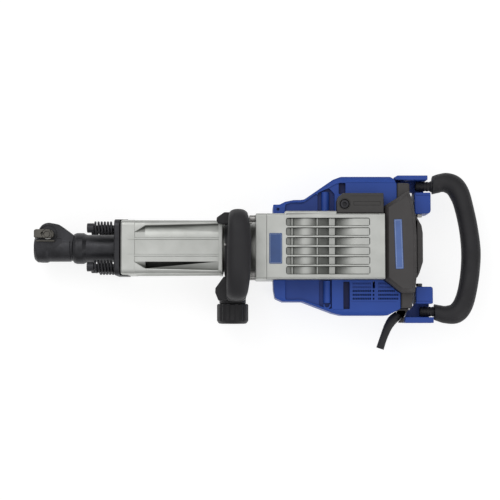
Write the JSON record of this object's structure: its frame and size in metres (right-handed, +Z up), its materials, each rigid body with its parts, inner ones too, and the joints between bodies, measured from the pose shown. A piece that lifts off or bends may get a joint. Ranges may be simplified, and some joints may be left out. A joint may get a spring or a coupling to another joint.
{
  "type": "electric jackhammer",
  "caption": "Two-handed electric demolition hammer with hex tool holder, ribbed aluminium barrel, finned crankcase, D-shaped rear handle and swivelling side handle.",
  "frame": {"origin": "on the resting plane below the hammer axis, midway along the tool", "axes": "+X along the hammer axis towards the rear handle, +Y towards the brush side of the motor, +Z up through the finned front of the crankcase"},
  "size_m": [0.757, 0.3005, 0.1764],
  "materials": {
    "cast_aluminium": "as-cast, fine grain, satin",
    "black_steel": "black oxide with an oily satin sheen",
    "steel": "ground and turned steel",
    "copper": "enamelled copper winding and segments",
    "carbon": "pressed carbon",
    "blue_plastic": "fine-grained moulded nylon, satin",
    "dark_plastic": "moulded nylon with a fine spark texture",
    "black_plastic": "moulded, satin",
    "black_rubber": "soft-touch rubber, matt",
    "plate_blue": "printed plate, satin, no lettering"
  },
  "bodies": {
    "root": {"barrel_housing": "cast_aluminium", "flange_bolt_1": "black_steel", "flange_bolt_2": "black_steel", "flange_bolt_3": "black_steel", "flange_bolt_4": "black_steel", "damper_spring_1": "black_steel", "damper_spring_2": "black_steel", "damper_spring_3": "black_steel", "damper_spring_4": "black_steel", "cylinder_sleeve": "steel", "case_bolt_1": "steel", "case_bolt_2": "steel", "case_bolt_3": "steel", "case_bolt_4": "steel", "crankcase": "cast_aluminium", "upper_shell": "blue_plastic", "lower_shell": "blue_plastic", "brush_cover": "dark_plastic", "brush_cover_screw": "steel", "rear_cover": "dark_plastic", "switch_cap": "dark_plastic", "case_nameplate": "plate_blue", "cover_nameplate": "plate_blue", "cord_gland": "dark_plastic", "cord_guard": "black_rubber", "handle_bracket_upper": "blue_plastic", "handle_bracket_lower": "blue_plastic", "bracket_bolt_upper": "steel", "bracket_bolt_lower": "black_steel", "bellows_upper": "black_rubber", "bellows_lower": "black_rubber", "stator": "steel", "fan_side_bearing": "steel", "brush_side_bearing": "steel", "carbon_brush_upper": "carbon", "carbon_brush_lower": "carbon"},
    "tool_holder": {"tool_holder": "black_steel", "front_flange": "black_steel"},
    "retainer": {"retainer_pin": "steel", "retainer_lever": "steel"},
    "impact_bolt": {"impact_bolt": "steel"},
    "striker": {"striker": "steel"},
    "piston": {"piston": "steel", "gudgeon_pin": "steel"},
    "connecting_rod": {"connecting_rod": "steel", "crank_pin": "steel"},
    "crankshaft": {"crankshaft": "steel", "crank_gear": "steel"},
    "idler": {"idler_gear": "steel"},
    "armature": {"armature": "copper", "commutator": "copper", "cooling_fan": "dark_plastic"},
    "rocker_switch": {"rocker_switch": "black_plastic"},
    "rear_handle": {"handle_core": "steel", "rear_grip": "black_rubber"},
    "side_handle": {"side_clamp_band": "steel", "side_handle_frame": "black_plastic", "side_grip": "black_rubber"},
    "side_knob": {"side_knob": "black_plastic", "side_knob_bolt": "steel"}
  },
  "joints": [
    {"name": "tool_holder_recoil", "type": "slide", "parent": "root", "child": "tool_holder", "axis": [-1, 0, 0], "range_m": [0, 0.004], "stiffness_N_per_m": 20000, "deforming": ["damper_spring_1", "damper_spring_2", "damper_spring_3", "damper_spring_4"]},
    {"name": "retainer_turn", "type": "hinge", "parent": "tool_holder", "child": "retainer", "pos_m": [-0.3525, 0.022, 0.05], "axis": [0, 0, 1], "range_deg": [-180, 0]},
    {"name": "impact_bolt_travel", "type": "slide", "parent": "tool_holder", "child": "impact_bolt", "axis": [1, 0, 0], "range_m": [0, 0.012]},
    {"name": "striker_travel", "type": "slide", "parent": "root", "child": "striker", "axis": [1, 0, 0], "range_m": [0, 0.03]},
    {"name": "piston_stroke", "type": "slide", "parent": "root", "child": "piston", "axis": [1, 0, 0], "range_m": [0, 0.04]},
    {"name": "connecting_rod_swing", "type": "hinge", "parent": "piston", "child": "connecting_rod", "pos_m": [-0.038, 0, 0.05], "axis": [0, 1, 0], "range_deg": [-11.5, 11.5]},
    {"name": "armature_spin", "type": "hinge", "parent": "root", "child": "armature", "pos_m": [0.17125, 0, 0.05], "axis": [0, 1, 0], "continuous": true},
    {"name": "idler_spin", "type": "hinge", "parent": "root", "child": "idler", "pos_m": [0.13, 0, 0.05], "axis": [0, 1, 0], "continuous": true},
    {"name": "crank_spin", "type": "hinge", "parent": "root", "child": "crankshaft", "pos_m": [0.08, 0, 0.05], "axis": [0, 1, 0], "continuous": true},
    {"name": "rocker_switch_tip", "type": "hinge", "parent": "root", "child": "rocker_switch", "pos_m": [0.2738, 0, 0.05], "axis": [0, 0, 1], "range_deg": [-8, 8]},
    {"name": "rear_handle_damper", "type": "slide", "parent": "root", "child": "rear_handle", "axis": [-1, 0, 0], "range_m": [0, 0.004], "stiffness_N_per_m": 8000, "deforming": ["bellows_upper", "bellows_lower"]},
    {"name": "side_handle_swivel", "type": "hinge", "parent": "root", "child": "side_handle", "pos_m": [-0.0355, 0, 0.05], "axis": [1, 0, 0], "continuous": true},
    {"name": "side_knob_turn", "type": "hinge", "parent": "side_handle", "child": "side_knob", "pos_m": [-0.0414, -0.11, 0.05], "axis": [0, 1, 0], "continuous": true}
  ],
  "couplings": [
    {"joint": "idler_spin", "follows": "armature_spin", "ratio": -0.25},
    {"joint": "crank_spin", "follows": "armature_spin", "ratio": 0.078947}
  ]
}
